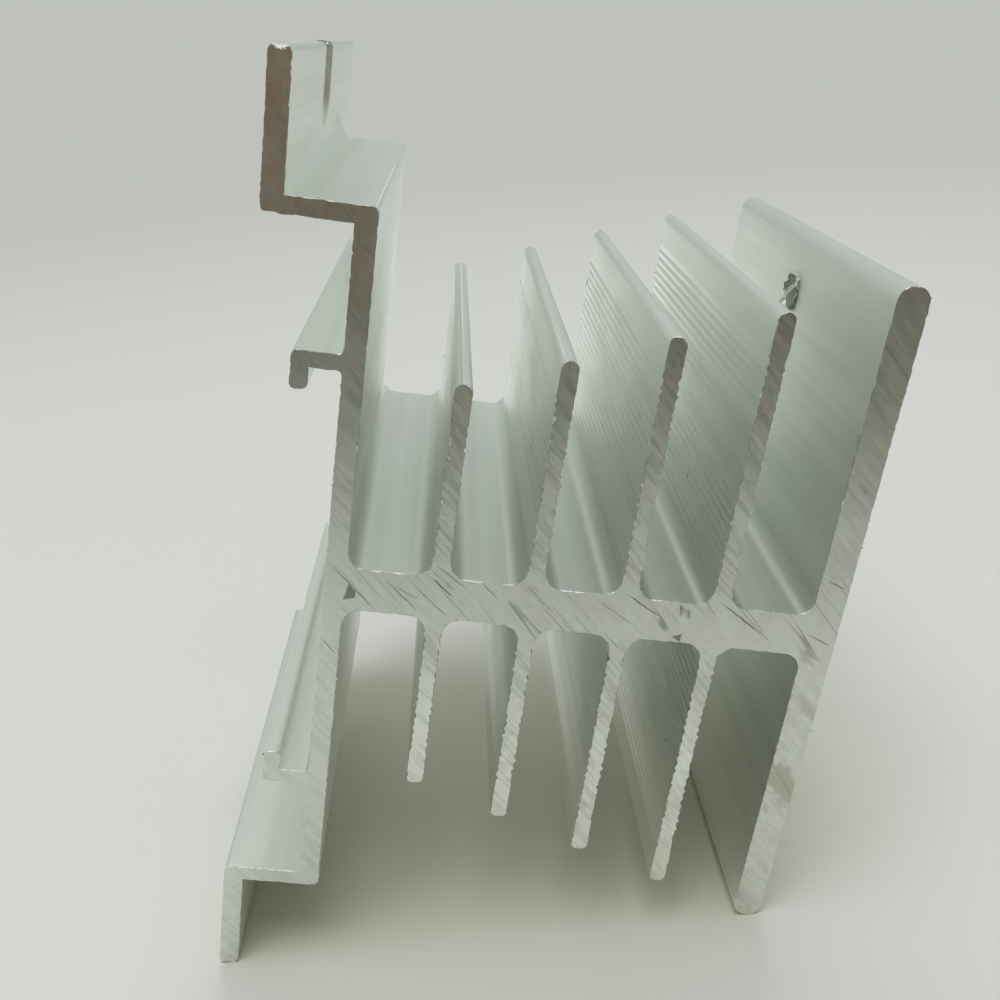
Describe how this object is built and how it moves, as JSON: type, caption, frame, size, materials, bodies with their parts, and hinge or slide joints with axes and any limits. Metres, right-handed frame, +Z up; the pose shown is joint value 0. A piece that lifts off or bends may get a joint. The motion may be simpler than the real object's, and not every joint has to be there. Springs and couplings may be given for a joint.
{
  "type": "extruded heat sink",
  "caption": "Extruded aluminium heat sink: ribbed fins on both faces of a web, a thick end plate, and a wall with card hooks and slotted mounting flanges.",
  "frame": {"origin": "on the floor, under the middle of the part's box as it rests", "axes": "+Z up, +Y along the extrusion away from the viewer, +X from the mounting wall towards the thick plate; the section is turned 12.47 degrees so that the foot flange and the plate's end both touch the floor"},
  "size_m": [0.093, 0.072, 0.1159],
  "materials": {
    "extrusion": "mill-finish extruded faces with fine die lines, sawn ends left raw"
  },
  "bodies": {
    "root": {"heat_sink": "extrusion"}
  },
  "joints": []
}
